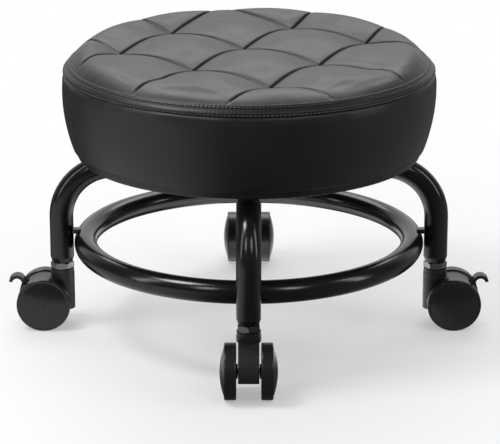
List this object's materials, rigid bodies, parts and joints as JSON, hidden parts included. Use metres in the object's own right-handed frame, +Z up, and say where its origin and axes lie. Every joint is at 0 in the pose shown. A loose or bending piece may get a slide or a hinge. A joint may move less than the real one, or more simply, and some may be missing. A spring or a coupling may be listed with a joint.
{
  "type": "pedicure stool",
  "caption": "Low round stool with a quilted leatherette seat on a bent-tube frame with a foot ring, rolling on twin-wheel casters, some with toe brakes.",
  "frame": {"origin": "on the floor under the middle of the seat", "axes": "+Z up; the legs stand on the X and Y axes, and the braked casters are the two on the X axis"},
  "size_m": [0.4482, 0.4324, 0.269],
  "materials": {
    "frame_coat": "satin",
    "zinc_steel": "satin",
    "black_chrome": "polished",
    "board": "satin",
    "dust_cloth": "matte",
    "foam": "matte",
    "cover_leather": "satin",
    "hood_nylon": "satin",
    "lever_nylon": "satin",
    "wheel_nylon": "satin",
    "tread": "satin"
  },
  "bodies": {
    "root": {"foot_ring": "frame_coat", "ring_tabs": "frame_coat", "frame_hub": "frame_coat", "seat_plate": "frame_coat", "seat_board": "board", "dust_cloth": "dust_cloth", "seat_foam": "foam", "seat_side_cover": "cover_leather", "seat_edge_band": "cover_leather", "seat_top_cover": "cover_leather", "seat_tee_nuts": "zinc_steel", "seat_bolts": "zinc_steel", "seat_washers": "zinc_steel", "stem_jam_nuts": "black_chrome", "stem_snap_rings": "zinc_steel", "leg_right": "frame_coat", "leg_insert_right": "zinc_steel", "caster_stem_right": "zinc_steel", "leg_back": "frame_coat", "leg_insert_back": "zinc_steel", "caster_stem_back": "zinc_steel", "leg_left": "frame_coat", "leg_insert_left": "zinc_steel", "caster_stem_left": "zinc_steel", "leg_front": "frame_coat", "leg_insert_front": "zinc_steel", "caster_stem_front": "zinc_steel"},
    "caster_right": {"caster_hood_right": "hood_nylon", "axle_right": "zinc_steel", "brake_pin_right": "zinc_steel"},
    "wheel_right_a_body": {"wheel_right_a": "wheel_nylon", "tyre_right_a": "tread"},
    "wheel_right_b_body": {"wheel_right_b": "wheel_nylon", "tyre_right_b": "tread"},
    "brake_right": {"brake_lever_right": "lever_nylon", "brake_bar_right": "zinc_steel"},
    "caster_back": {"caster_hood_back": "hood_nylon", "axle_back": "zinc_steel"},
    "wheel_back_a_body": {"wheel_back_a": "wheel_nylon", "tyre_back_a": "tread"},
    "wheel_back_b_body": {"wheel_back_b": "wheel_nylon", "tyre_back_b": "tread"},
    "caster_left": {"caster_hood_left": "hood_nylon", "axle_left": "zinc_steel", "brake_pin_left": "zinc_steel"},
    "wheel_left_a_body": {"wheel_left_a": "wheel_nylon", "tyre_left_a": "tread"},
    "wheel_left_b_body": {"wheel_left_b": "wheel_nylon", "tyre_left_b": "tread"},
    "brake_left": {"brake_lever_left": "lever_nylon", "brake_bar_left": "zinc_steel"},
    "caster_front": {"caster_hood_front": "hood_nylon", "axle_front": "zinc_steel"},
    "wheel_front_a_body": {"wheel_front_a": "wheel_nylon", "tyre_front_a": "tread"},
    "wheel_front_b_body": {"wheel_front_b": "wheel_nylon", "tyre_front_b": "tread"}
  },
  "joints": [
    {"name": "swivel_right", "type": "hinge", "parent": "root", "child": "caster_right", "pos_m": [0.174, 0, 0.05], "axis": [0, 0, 1], "continuous": true},
    {"name": "roll_right_a", "type": "hinge", "parent": "caster_right", "child": "wheel_right_a_body", "pos_m": [0.1912, 0, 0.025], "axis": [0, 1, 0], "continuous": true},
    {"name": "roll_right_b", "type": "hinge", "parent": "caster_right", "child": "wheel_right_b_body", "pos_m": [0.1912, 0, 0.025], "axis": [0, 1, 0], "continuous": true},
    {"name": "brake_press_right", "type": "hinge", "parent": "caster_right", "child": "brake_right", "pos_m": [0.2044, 0, 0.0345], "axis": [0, 1, 0], "range_deg": [0, 20]},
    {"name": "swivel_back", "type": "hinge", "parent": "root", "child": "caster_back", "pos_m": [0, 0.174, 0.05], "axis": [0, 0, 1], "continuous": true},
    {"name": "roll_back_a", "type": "hinge", "parent": "caster_back", "child": "wheel_back_a_body", "pos_m": [0, 0.1912, 0.025], "axis": [-1, 0, 0], "continuous": true},
    {"name": "roll_back_b", "type": "hinge", "parent": "caster_back", "child": "wheel_back_b_body", "pos_m": [0, 0.1912, 0.025], "axis": [-1, 0, 0], "continuous": true},
    {"name": "swivel_left", "type": "hinge", "parent": "root", "child": "caster_left", "pos_m": [-0.174, 0, 0.05], "axis": [0, 0, 1], "continuous": true},
    {"name": "roll_left_a", "type": "hinge", "parent": "caster_left", "child": "wheel_left_a_body", "pos_m": [-0.1912, 0, 0.025], "axis": [0, -1, 0], "continuous": true},
    {"name": "roll_left_b", "type": "hinge", "parent": "caster_left", "child": "wheel_left_b_body", "pos_m": [-0.1912, 0, 0.025], "axis": [0, -1, 0], "continuous": true},
    {"name": "brake_press_left", "type": "hinge", "parent": "caster_left", "child": "brake_left", "pos_m": [-0.2044, 0, 0.0345], "axis": [0, -1, 0], "range_deg": [0, 20]},
    {"name": "swivel_front", "type": "hinge", "parent": "root", "child": "caster_front", "pos_m": [0, -0.174, 0.05], "axis": [0, 0, 1], "continuous": true},
    {"name": "roll_front_a", "type": "hinge", "parent": "caster_front", "child": "wheel_front_a_body", "pos_m": [0, -0.1912, 0.025], "axis": [1, 0, 0], "continuous": true},
    {"name": "roll_front_b", "type": "hinge", "parent": "caster_front", "child": "wheel_front_b_body", "pos_m": [0, -0.1912, 0.025], "axis": [1, 0, 0], "continuous": true}
  ]
}
